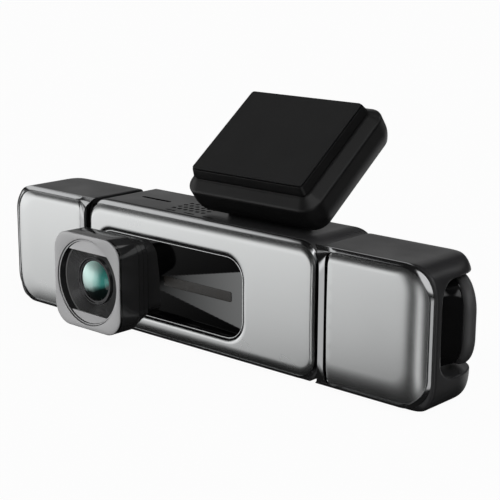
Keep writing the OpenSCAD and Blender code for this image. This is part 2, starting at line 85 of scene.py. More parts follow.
def calc(tree, operation, *values):
    """Result of a Math node; each value is a number or another node's output."""
    n = node(tree, "ShaderNodeMath", operation=operation)
    for socket, value in zip(n.inputs, values):
        if isinstance(value, bpy.types.NodeSocket):
            tree.links.new(value, socket)
        else:
            socket.default_value = value
    return n.outputs[0]


def own_coords(tree):
    return node(tree, "ShaderNodeTexCoord").outputs["Object"]


def x_y_z(tree, coords):
    n = node(tree, "ShaderNodeSeparateXYZ")
    tree.links.new(coords, n.inputs[0])
    return n.outputs


def spread(tree, source, low, high, to_low, to_high):
    """Maps low..high to to_low..to_high and holds the ends."""
    n = node(tree, "ShaderNodeMapRange")
    n.inputs["From Min"].default_value = low
    n.inputs["From Max"].default_value = high
    n.inputs["To Min"].default_value = to_low
    n.inputs["To Max"].default_value = to_high
    tree.links.new(source, n.inputs["Value"])
    return n.outputs["Result"]


def noise(tree, coords, scale, detail=3.0, stretch=None):
    if stretch:
        m = node(tree, "ShaderNodeMapping")
        m.inputs["Scale"].default_value = stretch
        tree.links.new(coords, m.inputs["Vector"])
        coords = m.outputs["Vector"]
    n = node(tree, "ShaderNodeTexNoise", Scale=scale, Detail=detail)
    tree.links.new(coords, n.inputs["Vector"])
    return n.outputs["Fac"]


def mixed(tree, factor, a, b):
    """Colour between a and b, each a colour or another node's output."""
    n = node(tree, "ShaderNodeMix", data_type="RGBA")
    for key, value in (("A", a), ("B", b)):
        socket = [s for s in n.inputs if s.name == key and s.type == "RGBA"][0]
        if isinstance(value, bpy.types.NodeSocket):
            tree.links.new(value, socket)
        else:
            socket.default_value = (*value, 1)
    tree.links.new(factor, n.inputs[0])
    return [s for s in n.outputs if s.type == "RGBA"][0]


def vent_shade_mask(tree, coords):
    """Painted shade's mask: 1 inside the vent holes and the space under them, 0 elsewhere."""
    parts = x_y_z(tree, coords)
    mask = None
    for axis, low, high, at_low, at_high in VENT_SHADE_EDGES:
        start = PLANE if axis == "Y" else 0
        edge = spread(tree, parts[axis], low * MM + start, high * MM + start, at_low, at_high)
        mask = edge if mask is None else calc(tree, "MULTIPLY", mask, edge)
    return mask


def material(name, color, rough, metal=0.0, vary=0.12, rough_vary=0.06, grain=2500, bump=0.15,
             depth=0.02, wear=0.3, stretch=None, blotch=60, vent_shade=False, **sockets):
    """Procedural finish: two-tone colour drift, roughness drift, fine grain bump and worn edges.

    grain and blotch are noise scales per metre, depth is the grain's height in millimetres, and the
    vent switch paints shade into the vent holes: their walls and the space under them go black.
    """
    m = bpy.data.materials.new(name)
    m.use_nodes = True
    t = m.node_tree
    shader = t.nodes["Principled BSDF"]
    shader.inputs["Metallic"].default_value = metal
    for key, value in sockets.items():
        shader.inputs[key.replace("_", " ")].default_value = value
    coords = own_coords(t)
    drift = noise(t, coords, blotch, 4.0, stretch)
    fine = noise(t, coords, grain, 2.0, stretch)
    dark = tuple(c * (1 - vary) for c in color)
    light = tuple(min(1, c * (1 + vary)) for c in color)
    base = mixed(t, spread(t, drift, 0.3, 0.7, 0, 1), dark, light)
    if wear:
        point = node(t, "ShaderNodeNewGeometry").outputs["Pointiness"]
        edge = spread(t, point, 0.53, 0.62, 0, wear)
        base = mixed(t, edge, base, tuple(min(1, c * 1.8 + 0.03) for c in color))
    # painted shade: the vent holes' walls and the space under them are painted black, with no reflection
    if vent_shade:
        inside = vent_shade_mask(t, coords)
        base = mixed(t, inside, base, (0.002, 0.002, 0.002))
        t.links.new(spread(t, inside, 0, 1, 0.5, 0), shader.inputs["Specular IOR Level"])
    t.links.new(base, shader.inputs["Base Color"])
    t.links.new(spread(t, drift, 0.25, 0.75, rough - rough_vary, rough + rough_vary),
                shader.inputs["Roughness"])
    b = node(t, "ShaderNodeBump", Strength=bump, Distance=depth * MM)
    t.links.new(fine, b.inputs["Height"])
    t.links.new(b.outputs["Normal"], shader.inputs["Normal"])
    return m


M = {
    "deck": material("deck_black", (0.044, 0.044, 0.046), 0.36, vary=0.06, grain=9000, bump=0.25),
    # deck with painted shade inside its vent holes
    "vented": material("vented_deck_painted_shade", (0.044, 0.044, 0.046), 0.36, vary=0.06, grain=9000, bump=0.25,
                       vent_shade=True),
    "rear": material("rear_black", (0.03, 0.03, 0.032), 0.42, grain=7000, bump=0.3),
    "chrome": material("bright_trim", (0.46, 0.465, 0.47), 0.14, 1.0, vary=0.03, rough_vary=0.02,
                       grain=1500, bump=0.03, wear=0.0),
    "silver": material("satin_silver", (0.63, 0.64, 0.64), 0.26, 1.0, vary=0.02, rough_vary=0.02,
                       grain=1800, bump=0.04, depth=0.01, wear=0.15),
    "gloss": material("gloss_black", (0.009, 0.009, 0.0095), 0.06, vary=0.1, rough_vary=0.02,
                      grain=900, bump=0.02, wear=0.2),
    "body": material("camera_black", (0.034, 0.034, 0.035), 0.1, vary=0.1, rough_vary=0.02,
                     grain=900, bump=0.02, wear=0.2),
    "label": material("label_tan", (0.028, 0.023, 0.018), 0.3, vary=0.3, grain=5000, blotch=400,
                      wear=0),
    "screen": material("screen_glass", (0.004, 0.004, 0.005), 0.05, vary=0.1, rough_vary=0.02,
                       grain=700, bump=0.02, wear=0),
    "lcd": material("lcd_grey", (0.03, 0.035, 0.045), 0.3, grain=3000, wear=0),
    "board": material("green_board", (0.02, 0.13, 0.05), 0.4, vary=0.25, grain=3000, blotch=300),
    "heat": material("heat_metal", (0.55, 0.56, 0.57), 0.4, 1.0, grain=3000, bump=0.2,
                     stretch=(1, 1, 8)),
    "sleeve": material("capacitor_sleeve", (0.03, 0.05, 0.2), 0.25, grain=2000),
    "dark": material("dark_parts", (0.022, 0.022, 0.024), 0.45, grain=6000, bump=0.2),
    "cone": material("cone_black", (0.13, 0.13, 0.132), 0.36, grain=6000, bump=0.1, wear=0.6),
    "nickel": material("sensor_metal", (0.55, 0.55, 0.53), 0.28, 1.0, grain=4000, bump=0.1),
    "ceramic": material("antenna_ceramic", (0.5, 0.44, 0.3), 0.5, grain=3000),
    "button": material("button_black", (0.035, 0.035, 0.038), 0.33, grain=8000, bump=0.25),
    "bezel": material("bezel_grey", (0.52, 0.52, 0.525), 0.38, 0.85, vary=0.04, grain=9000,
                      bump=0.12, wear=0.25),
    "trim": material("lens_trim", (0.05, 0.05, 0.052), 0.25, 0.6, grain=5000, bump=0.05),
    "infra": material("infrared_window", (0.03, 0.003, 0.005), 0.08, vary=0.2, grain=900, bump=0.02),
    "side": material("side_black", (0.12, 0.12, 0.122), 0.45, vary=0.06, grain=9000, bump=0.3),
    "steel": material("turned_steel", (0.5, 0.5, 0.51), 0.3, 1.0, grain=3000, bump=0.1,
                      stretch=(1, 1, 6)),
    "washer": material("washer_black", (0.02, 0.02, 0.02), 0.7, grain=4000, bump=0.3),
    "mount": material("mount_black", (0.013, 0.013, 0.0133), 0.4, vary=0.08, grain=9000, bump=0.3,
                      Specular_IOR_Level=0.45),
    "foam": material("pad_foam", (0.038, 0.038, 0.0385), 0.85, vary=0.1, grain=6000, bump=0.5,
                     depth=0.05, Specular_IOR_Level=0.3),
}


def coated_with_painted_light(name, centre, radius, bright, tint, deep, rough):
    """Coated lens: painted highlight at upper left, the coating's tint across the middle, painted
    shade at lower right.

    centre is the lens axis (x, z) and radius the lens's own, in metres; bright is the painted
    highlight's colour and deep the painted shade's.
    """
    m = material(name, tint, rough, 0.75, vary=0.05, grain=400, bump=0.01, wear=0, Coat_Weight=1.0,
                 Coat_Roughness=0.03)
    t = m.node_tree
    shader = t.nodes["Principled BSDF"]
    coords = own_coords(t)
    x, _, z = x_y_z(t, coords)
    across = spread(t, x, centre[0] - radius, centre[0] + radius, 0, 1)
    down = spread(t, z, centre[1] + radius, centre[1] - radius, 0, 1)
    swirl = noise(t, coords, 260, 2.0)

    def weighted(*parts):
        """Sum of the values, each times its weight."""
        total = 0
        for value, weight in parts:
            total = calc(t, "MULTIPLY_ADD", value, weight, total)
        return total

    # painted highlight: pale at upper left, fading into the coating's tint towards the right
    highlight_to_tint = spread(t, weighted((across, 0.85), (down, 0.15), (swirl, 0.16)), 0.55, 0.8, 0, 1)
    # painted shade: dark at lower right
    lens_painted_shade = spread(t, weighted((across, 0.25), (down, 0.75), (swirl, 0.12)), 0.66, 0.76, 0, 1)
    tint_and_painted_light = mixed(t, lens_painted_shade, mixed(t, highlight_to_tint, bright, tint), deep)
    t.links.new(tint_and_painted_light, shader.inputs["Base Color"])
    return m


# road lens: painted highlight, the coating's tint and painted shade
M["coated_with_painted_light"] = coated_with_painted_light("coated_glass", (CAM_X * MM, CAM_Z * MM), 7.1 * MM, (0.7, 1, 0.93),
                     (0.12, 0.62, 0.54), (0.008, 0.03, 0.028), 0.36)


def panel_with_painted_reflection():
    """Gloss black panel; its wedge centre is satin with a painted reflection, lighter to the right."""
    m = material("panel_with_painted_reflection", (0.006, 0.006, 0.0065), 0.06, grain=900, bump=0.02, wear=0,
                 Specular_IOR_Level=0.22)
    t = m.node_tree
    shader = t.nodes["Principled BSDF"]
    x, _, z = x_y_z(t, own_coords(t))

    def under(slope, level):
        """1 below the line z = level + slope * x (millimetres), 0 above it."""
        height = calc(t, "MULTIPLY_ADD", x, -slope, z)
        return spread(t, height, (level - 0.1) * MM, (level + 0.1) * MM, 1, 0)

    # the wedge that carries the painted reflection
    inside = calc(t, "SUBTRACT", under(0.222, 28.37), under(-0.1693, 16.31))
    left = spread(t, x, -22 * MM, 2 * MM, 0, 1)
    # painted reflection: dark at the left, lighter towards the right
    painted_reflection = mixed(t, left, (0.012, 0.012, 0.012), (0.105, 0.107, 0.107))
    painted_reflection = mixed(t, spread(t, x, 2 * MM, 24 * MM, 0, 1), painted_reflection, (0.2, 0.203, 0.203))
    t.links.new(mixed(t, inside, (0.004, 0.004, 0.0045), painted_reflection), shader.inputs["Base Color"])
    t.links.new(inside, shader.inputs["Metallic"])
    t.links.new(spread(t, inside, 0, 1, 0.07, 0.3), shader.inputs["Roughness"])
    return m


# the gloss panel with its painted reflection
M["panel"] = panel_with_painted_reflection()
M["side_glass"] = material("side_glass", (0.01, 0.02, 0.05), 0.04, vary=0.1, grain=400, bump=0.01,
                           wear=0, Coat_Weight=1.0, Coat_Roughness=0.03)


# ---------------------------------------------------------------- mesh tools

def split(p):
    return p[..., 0], p[..., 1], p[..., 2]


def at_side(p):
    """Side camera's own frame: the lens looks along +y and the swivel axis is z."""
    c, s = math.cos(SIDE_FACE), math.sin(SIDE_FACE)
    x, y, z = split(p)
    return np.stack([SIDE.x + c * x - s * y, SIDE.y + s * x + c * y, SIDE.z + z], -1)


def into_side(p):
    """The way back from at_side: x, y and z in the side camera's frame."""
    c, s = math.cos(SIDE_FACE), math.sin(SIDE_FACE)
    x, y, z = split(p - np.array(SIDE))
    return x * c + y * s, -x * s + y * c, z


def at_pad(p):
    """Mount head's frame: x along the bar, y up the windscreen, z out of the pad."""
    c, s = math.cos(PAD_TILT), math.sin(PAD_TILT)
    x, y, z = split(p)
    return np.stack([PAD.x + x, PAD.y + c * y - s * z, PAD.z + s * y + c * z], -1)


def at_lens(p):
    """Road lens frame: z runs out of the lens, towards the road."""
    x, y, z = split(p)
    return np.stack([CAM_X + x, -z, CAM_Z + y], -1)


def at_side_lens(p):
    """Side lens frame: z runs out of the lens."""
    x, y, z = split(p)
    return at_side(np.stack([-x, z, y], -1))


def flip(p):
    """Mirror image, for the left end."""
    return p * np.array([-1, 1, 1])


def build(name, verts, faces, body, slot, mat, stands_for=(), normals=None, angle=35, mirror=False,
          second=None):
    """Makes one piece from millimetre points.

    body is what it rides on, stands_for the CAD nodes it replaces, angle where shading breaks when
    no normals are given, and second a (material, test) for faces whose centre passes the test.
    """
    v = np.asarray(verts, float)
    if mirror:
        v = flip(v)
        normals = None if normals is None else flip(normals)
    v = v * MM + np.array([0, PLANE, 0])
    me = bpy.data.meshes.new(name)
    me.from_pydata(v.tolist(), [], [tuple(int(i) for i in f) for f in faces])
    me.validate()
    bm = bmesh.new()
    bm.from_mesh(me)
    bmesh.ops.remove_doubles(bm, verts=bm.verts, dist=MERGE)
    bmesh.ops.recalc_face_normals(bm, faces=bm.faces)
    bm.to_mesh(me)
    bm.free()
    me.polygons.foreach_set("use_smooth", [True] * len(me.polygons))
    if normals is not None and len(me.vertices) == len(v):
        me.normals_split_custom_set_from_vertices(normals.tolist())
    else:
        me.set_sharp_from_angle(angle=math.radians(angle))
    o = bpy.data.objects.new(name, me)
    bpy.context.scene.collection.objects.link(o)
    me.materials.append(M[mat])
    if second:
        me.materials.append(M[second[0]])
        for p in me.polygons:
            if second[1]((np.array(p.center) - np.array([0, PLANE, 0])) / MM):
                p.material_index = 1
    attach(o, body)
    if stands_for:
        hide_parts(*stands_for)
    return o


def outline(a0, a1, b0, b1, r, k=12, side=6):
    """Rounded rectangle, the same number of points for any size.

    r is one radius, or those of the corners low-low, high-low, high-high and low-high.
    """
    r = (r,) * 4 if np.isscalar(r) else r
    r = [max(v, 0.02) for v in r]
    corners = [(a0 + r[0], b0 + r[0], r[0], 180), (a1 - r[1], b0 + r[1], r[1], 270),
               (a1 - r[2], b1 - r[2], r[2], 0), (a0 + r[3], b1 - r[3], r[3], 90)]
    points = []
    for i, (x, y, q, start) in enumerate(corners):
        for j in range(k + 1):
            g = math.radians(start + 90 * j / k)
            points.append((x + q * math.cos(g), y + q * math.sin(g)))
        nx, ny, nq, ns = corners[(i + 1) % 4]
        g = math.radians(ns)
        end = np.array((nx + nq * math.cos(g), ny + nq * math.sin(g)))
        last = np.array(points[-1])
        points += [tuple(last + (end - last) * j / side) for j in range(1, side)]
    return np.array(points)


def by_angle(half_a, half_b, r, n):
    """Rounded rectangle about the origin, sampled at even angles so that it matches a circle."""
    out = []
    for i in range(n):
        g = 2 * math.pi * i / n
        d = np.array([math.cos(g), math.sin(g)])
        lo, hi = 0.0, 4 * max(half_a, half_b)
        for _ in range(40):
            mid = (lo + hi) / 2
            q = np.abs(d * mid) - np.array([half_a - r, half_b - r])
            inside = min(q.max(), 0) + np.hypot(*np.maximum(q, 0)) - r < 0
            lo, hi = (mid, hi) if inside else (lo, mid)
        out.append(d * lo)
    return np.array(out)


def stack(rings, caps=(True, True), closed=False):
    """Quads between rings of equally many 3-D points, with flat ends."""
    n = len(rings[0])
    verts = np.concatenate(rings)
    faces = []
    m = len(rings)
    for i in range(m if closed else m - 1):
        a, b = i * n, ((i + 1) % m) * n
        faces += [(a + j, a + (j + 1) % n, b + (j + 1) % n, b + j) for j in range(n)]
    if caps[0]:
        faces.append(tuple(range(n)))
    if caps[1]:
        faces.append(tuple(range((m - 1) * n, m * n)))
    return verts, faces


def facing(points, y):
    """Outline in x and z at depth y, which is one number or one per point."""
    return np.stack([points[:, 0], np.zeros(len(points)) + y, points[:, 1]], -1)


def flat(points, z):
    """Outline in x and y at height z."""
    return np.stack([points[:, 0], points[:, 1], np.full(len(points), z)], -1)


def rounded(corners, n=4):
    """Profile line with its corners rounded: corners are (a, b, radius)."""
    out = []
    for i, (a, b, r) in enumerate(corners):
        if r <= 0 or i in (0, len(corners) - 1):
            out.append((a, b))
            continue
        p = np.array((a, b), float)
        u = np.array(corners[i - 1][:2]) - p
        v = np.array(corners[i + 1][:2]) - p
        lu, lv = np.linalg.norm(u), np.linalg.norm(v)
        u, v = u / lu, v / lv
        half = math.acos(max(-1, min(1, u @ v))) / 2
        cut = min(r / math.tan(half), 0.49 * lu, 0.49 * lv)
        s, e = p + u * cut, p + v * cut
        for j in range(n + 1):
            t = j / n
            out.append(tuple((1 - t) ** 2 * s + 2 * t * (1 - t) * p + t * t * e))
    return out


def ring_piece(loops, closed=True):
    """Loops are (outline, depth or depth per point); the piece is closed round its section."""
    return stack([facing(*q) for q in loops], (False, False), closed)


def roll(start, end, y0, y1, power, n=10):
    """Loops from one outline to another, the depth growing slowly and then fast."""
    return [(start + (end - start) * i / n, y0 + (y1 - y0) * (i / n) ** power) for i in range(n + 1)]


def enclosed(points, loop):
    """Which of the points lie inside the loop."""
    a, b = loop, np.roll(loop, -1, 0)
    x, y = points[:, None, 0], points[:, None, 1]
    crosses = (a[:, 1] > y) != (b[:, 1] > y)
    rise = np.where(b[:, 1] == a[:, 1], 1, b[:, 1] - a[:, 1])
    return (crosses & (x < (b[:, 0] - a[:, 0]) * (y - a[:, 1]) / rise + a[:, 0])).sum(1) % 2 == 1


def flat_between(outer, inner=np.zeros((0, 2)), step=FACE_STEP):
    """Even triangles between two outlines, or inside one, whose own points are kept."""
    axes = [np.arange(outer[:, i].min() + step / 2, outer[:, i].max(), step) for i in (0, 1)]
    grid = np.stack([g.ravel() for g in np.meshgrid(*axes)], -1)
    rim = np.concatenate([outer, inner])
    far = np.linalg.norm(grid[:, None] - rim[None], axis=-1).min(1) > 0.6 * step
    grid = grid[far & enclosed(grid, outer) & ~enclosed(grid, inner)]
    n, m = len(outer), len(inner)
    edges = [(i, (i + 1) % n) for i in range(n)] + [(n + i, n + (i + 1) % m) for i in range(m)]
    spots = [Vector(q) for q in np.concatenate([rim, grid])]
    found = delaunay_2d_cdt(spots, edges, [], 0, 1e-4, False)
    points, tris = np.array([tuple(q) for q in found[0]]), np.array(found[2])
    middle = points[tris].mean(1)
    return points, tris[enclosed(middle, outer) & ~enclosed(middle, inner)].tolist()


def filled(depth, *outlines):
    """Face that fills the outlines; depth(points, 0) gives the points and how deep each lies."""
    points, tris = flat_between(*outlines)
    return facing(*depth(points, 0)), tris


def together(parts):
    """Several (points, faces) as one."""
    verts, faces = [], []
    for v, f in parts:
        faces += [tuple(i + len(verts) for i in q) for q in f]
        verts += np.asarray(v).tolist()
    return np.array(verts), faces


def lathe(profile, place, n=96):
    """Turned piece: profile is (radius, height) along the z of the frame that place() maps from."""
    g = np.linspace(0, 2 * math.pi, n, endpoint=False)
    rings = [place(np.stack([r * np.cos(g), r * np.sin(g), np.full(n, h)], -1)) for r, h in profile]
    reaches_axis = min(profile[0][0], profile[-1][0]) < 0.01
    return stack(rings, (False, False), not reaches_axis and profile[0] != profile[-1])


# Distance fields, in millimetres: below 0 is inside.

def box2(p, q, a0, a1, b0, b1, r):
    """Rounded rectangle a0..a1 by b0..b1; r as in outline."""
    r = (r,) * 4 if np.isscalar(r) else r
    cp, cq = (a0 + a1) / 2, (b0 + b1) / 2
    rad = np.where(p > cp, np.where(q > cq, r[2], r[1]), np.where(q > cq, r[3], r[0]))
    u, v = np.abs(p - cp) - (a1 - a0) / 2 + rad, np.abs(q - cq) - (b1 - b0) / 2 + rad
    return np.minimum(np.maximum(u, v), 0) + np.hypot(np.maximum(u, 0), np.maximum(v, 0)) - rad


def both(a, b, k):
    """Inside both fields, the corner between them rounded over about k."""
    h = np.maximum(k - np.abs(a - b), 0) / k
    return np.maximum(a, b) + h * h * k / 4


def joined(a, b, k):
    """Inside either field, the inner corner between them filled over about k."""
    return -both(-a, -b, k)


def column(x, y, z, r, half, edge):
    """Upright cylinder about the origin with rounded ends."""
    u, v = np.hypot(x, y) - r + edge, np.abs(z) - half + edge
    return np.minimum(np.maximum(u, v), 0) + np.hypot(np.maximum(u, 0), np.maximum(v, 0)) - edge


def skin(field, low, high, h):
    """Surface-nets mesh of a field: points on the surface, faces, and the normals.

    The box low..high has to hold the whole shape, or the mesh is left open at its side.
    """
    low, high = np.array(low, float), np.array(high, float)
    count = np.ceil((high - low) / h).astype(int) + 1
    axes = [low[i] + h * np.arange(count[i]) for i in range(3)]
    grid = np.stack(np.meshgrid(*axes, indexing="ij"), -1)
    value = field(grid)
    inside = value < 0
    corner = [(i, j, k) for i in (0, 1) for j in (0, 1) for k in (0, 1)]
    c = count - 1

    def part(a, o):
        return a[o[0]:o[0] + c[0], o[1]:o[1] + c[1], o[2]:o[2] + c[2]]

    total = sum(part(inside, o).astype(np.int8) for o in corner)
    cells = np.argwhere((total > 0) & (total < 8))
    index = -np.ones(c, int)
    index[tuple(cells.T)] = np.arange(len(cells))
    point, hits = np.zeros((len(cells), 3)), np.zeros(len(cells))
    for a in corner:
        for axis in range(3):
            if a[axis]:
                continue
            b = list(a)
            b[axis] = 1
            va = value[tuple((cells + a).T)]
            vb = value[tuple((cells + b).T)]
            cross = (va < 0) != (vb < 0)
            t = np.where(cross, va / np.where(cross, va - vb, 1), 0)
            q = np.array(a, float) + np.eye(3)[axis] * t[:, None]
            point += q * cross[:, None]
            hits += cross
    verts = low + (cells + point / hits[:, None]) * h
    faces = []
    for axis in range(3):
        o = [0, 0, 0]
        o[axis] = 1
        size = list(count)
        size[axis] -= 1
        first = inside[:size[0], :size[1], :size[2]]
        second = inside[o[0]:, o[1]:, o[2]:]
        edge = np.argwhere(first != second)
        u, v = [i for i in range(3) if i != axis]
        for w in (u, v):
            edge = edge[(edge[:, w] > 0) & (edge[:, w] < count[w] - 1)]
        ring = []
        for du, dv in ((1, 1), (0, 1), (0, 0), (1, 0)):
            q = edge.copy()
            q[:, u] -= du
            q[:, v] -= dv
            ring.append(index[tuple(q.T)])
        faces.append(np.stack(ring, -1))
    faces = np.concatenate(faces)

    def slope(p, e=0.02):
        g = np.stack([field(p + d) - field(p - d) for d in np.eye(3) * e], -1)
        return g / (2 * e)

    for _ in range(4):
        g = slope(verts)
        move = field(verts)[:, None] * g / np.maximum((g * g).sum(-1, keepdims=True), 0.2)
        size = np.linalg.norm(move, axis=-1, keepdims=True)
        verts = verts - move * np.minimum(1, 0.4 * h / np.maximum(size, 1e-9))
    g = slope(verts, 0.1)
    return verts, faces, g / np.maximum(np.linalg.norm(g, axis=-1, keepdims=True), 1e-9)


def grown(name, field, low, high, h, *args, **more):
    """Piece made from a field inside the box low..high, with cells of size h."""
    verts, faces, normals = skin(field, low, high, h)
    return build(name, verts, faces, *args, normals=normals, **more)


# ---------------------------------------------------------------- centre section

def centre_loop(side_in, top_in, bottom_in, r):
    return outline(-54.2 + side_in, 54.2 - side_in, 1.7 + bottom_in, 48.3 - top_in, r, side=20)


v, f = ring_piece([(centre_loop(0.25, 1.3, 1.3, 6.4), 2.5), (centre_loop(0, 0, 0, 7.7), 2.5),
                   (centre_loop(0, 0, 0, 7.7), 1.72), (centre_loop(0.02, 0.06, 0.06, 7.68), 1.64),
                   (centre_loop(0.2, 1.28, 1.2, 6.5), 0.95)])
build("centre_rim_frame", v, f, BAR, "bright_trim", "chrome", ["centre_rim"], angle=25)


def crowned(points, y):
    """Plates are very slightly crowned from top to bottom, except at their rear edge."""
    return points, y + 0.0009 * (points[:, 1] - 26) ** 2 * np.clip((2.4 - y) / 0.3, 0, 1)


plate_edge = outline(-53.9, 53.9, 2.95, 47.02, 6.9, side=SIDE_STEPS)
plate_level = outline(-52.0, 52.1, 6.6, 43.6, 4.0, side=SIDE_STEPS)
lip_level = outline(-51.4, 25.0, 6.9, 40.0, 9.3, side=SIDE_STEPS)
lip_edge = outline(-50.5, 23.7, 8.1, 38.7, 8.5, side=SIDE_STEPS)
outer = [(plate_edge, 2.4)] + roll(plate_level, plate_edge, 0, 0.62, 2.0)[::-1]
inner = roll(lip_level, lip_edge, 0, 0.22, 2.2) + [(lip_edge, 2.4)]
parts = [ring_piece([crowned(*q) for q in loops], False)
         for loops in (outer, inner, [inner[-1], outer[0]])]
parts.append(filled(crowned, plate_level, lip_level))
bead = [(outline(-50.4 + i, 23.6 - i, 8.2 + i, 38.6 - i, 8.4 - i, side=SIDE_STEPS), y)
        for i, y in ((0.75, 1.0), (0.75, 0.62), (0.82, 0.55), (0.98, 0.55), (1.05, 0.62), (1.05, 1.0))]
parts.append(ring_piece(bead))  # the thin bright line round the gloss panel
v, f = together(parts)
build("centre_face_plate", v, f, BAR, "satin_silver", "silver", ["centre_plate"])


def recess_floor(x, z):
    """Depth of the panel's floor: a flat wedge, opening to the right, between two tilted planes."""
    k = (x + 22.4) / 43.7
    above, below = z - (23.4 + 9.7 * k), (20.1 - 7.4 * k) - z
    return 2.3 - 0.13 * np.maximum(above, 0) + 0.13 * np.maximum(below, 0)


def recess_field(p):
    x, y, z = split(p)
    rim = box2(x, z, -50.4, 23.6, 8.2, 38.6, 8.4)
    d = both(rim, 0.7 - y, 0.3)
    d = both(d, y - 5.6, 0.3)
    well = np.maximum(rim + 0.75, y - recess_floor(x, z))
    return both(d, -well, 0.15)


# its material carries the painted reflection in the wedge
grown("gloss_recess_panel", recess_field, (-51, 0.2, 7.6), (24.2, 6.2, 39.2), 0.4, BAR, "gloss_black",
      "panel", ["recess_panel"])

strip = rounded([(0.5, 2.3, 0), (0.0, 2.3, 0), (0.0, 2.16, 0.05), (0.6, 2.14, 0)])
v, f = stack([facing(outline(-16.7 + i, 16.1 - i, 21.4 + i, 25 - i, 0.7, k=4, side=2), y)
              for i, y in strip])
build("blank_strip", v, f, BAR, "label_tan", "label", ["blank_label_strip"])

# ---------------------------------------------------------------- road camera

# (how far it is set in, depth) from the face to the rear, with three stepped collars
body_line = rounded([(0.4, -18.85, 0), (0.0, -18.7, 0.1), (0.0, -10.6, 0.45), (1.3, -10.6, 0.05),
                     (1.3, -7.2, 0.5), (2.2, -7.2, 0.05), (2.2, -4.2, 0.5), (3.4, -4.2, 0.05),
                     (3.4, 4.0, 0)])


def cam_ring(inset, y):
    """The camera's square outline, set in, at depth y."""
    h = 17.15 - inset
    return facing(by_angle(h, h, 7.5 - 0.6 * inset, CAM_POINTS) + (CAM_X, CAM_Z), y)


def circle(r, y):
    g = np.linspace(0, 2 * math.pi, CAM_POINTS, endpoint=False)
    return facing(np.stack([CAM_X + r * np.cos(g), CAM_Z + r * np.sin(g)], -1), y)


well = rounded([(14.95, -13.9, 0), (14.95, -19.62, 0.12), (15.45, -19.62, 0.12), (15.45, -18.85, 0)])
rings = [circle(r, y) for r, y in well] + [cam_ring(i, y) for i, y in body_line]
v, f = stack(rings + [circle(7.3, 4.0), circle(7.3, -13.9)], (False, False), closed=True)
# the bright lip inside the bezel's opening is part of the body
build("road_camera_case", v, f, BAR, "gloss_black", "body", ["road_camera_body"],
      second=("bezel", lambda c: c[1] < -19.2))

front = rounded([(15.62, -18.8, 0), (15.62, -20.0, 0.12), (17.0, -20.0, 0)])
rings = [circle(r, y) for r, y in front[:-1]]
edge = rounded([(1.2, -20.0, 0), (0.0, -20.0, 0.25), (0.0, -18.8, 0)])
rings += [cam_ring(i, y) for i, y in edge]
v, f = stack(rings, (False, False), closed=True)
# only its front is grey, the edge behind it is black like the body
build("road_camera_face", v, f, BAR, "bezel_grey", "bezel", ["road_camera_bezel"], angle=25,
      second=("gloss", lambda c: c[1] > -19.75 and np.hypot(c[0] - CAM_X, c[2] - CAM_Z) > 16.2))

parts = []
for sign, cut in ((1, 10.8), (-1, 11.5)):
    r = 14.85
    start = math.asin(cut / r)
    g = np.linspace(start, math.pi - start, 40)
    shape = np.stack([r * np.cos(g), sign * r * np.sin(g)], -1)
    mid = np.array([0, sign * 12.6])
    parts.append(stack([facing(mid + (shape - mid) * k + (CAM_X, CAM_Z), y)
                        for k, y in ((1, -18.4), (1, -19.02), (0.985, -19.1))]))
v, f = together(parts)
build("bezel_flats", v, f, BAR, "bezel_grey", "bezel", ["bezel_segments"])

TEETH = 11
CONE_R0, CONE_R1, CONE_TOP, CONE_FALL = 14.2, 8.95, 16.85, 1.4
ridge = [(15.05, 14.1), (15.05, 16.9), (14.3, 16.9)]
for i in range(TEETH):
    (r0, h0), (r1, h1) = [(CONE_R0 - (CONE_R0 - CONE_R1) * j / TEETH, CONE_TOP - CONE_FALL * j / TEETH)
                          for j in (i, i + 1)]
    ridge += [(r0, h0), (r0 - 0.12, h1 - 0.25), (r1, h1)]
ridge += [(8.8, 15.3), (8.65, 14.1)]
v, f = lathe(ridge, at_lens, 128)
build("ridged_light_cone", v, f, BAR, "dark_parts", "cone", ["ridged_cone"], angle=20)

ring = rounded([(8.6, 14.05, 0), (8.6, 16.6, 0.12), (8.15, 16.6, 0.1), (7.9, 16.2, 0.1),
                (7.35, 16.2, 0.1), (7.15, 15.9, 0), (7.15, 14.05, 0)])
v, f = lathe(ring, at_lens)
build("road_lens_trim", v, f, BAR, "lens_trim", "trim", ["road_lens_ring"])


def dome(r, big, base, rear, n=14):
    """Profile of a convex lens: rim radius, curvature radius, and the rim's and the rear's heights."""
    centre = base - math.sqrt(big * big - r * r)
    line = [(0.0, rear), (r - 0.02, rear), (r, rear + 0.1), (r, base)]
    for i in range(1, n + 1):
        q = r * math.cos(math.pi / 2 * i / n)
        line.append((max(q, 0), centre + math.sqrt(big * big - q * q)))
    return line


v, f = lathe(dome(7.1, 17, 15.7, 14.05), at_lens)
build("road_lens_dome", v, f, BAR, "coated_glass", "coated_with_painted_light", ["road_lens_glass"])

# the photo shows the plates without the road camera's mirror image
for name in ("road_camera_case", "road_camera_face", "bezel_flats", "ridged_light_cone",
             "road_lens_trim", "road_lens_dome"):
    bpy.data.objects[name].visible_glossy = False

# ---------------------------------------------------------------- end pods

def groove_field(x, z, extra):
    """The centre section's outline, grown by extra; the pods are cut back to it."""
    return box2(x, z, -CENTRE_HALF - extra, CENTRE_HALF + extra, -extra, CENTRE_H + extra,
                CENTRE_R + extra)


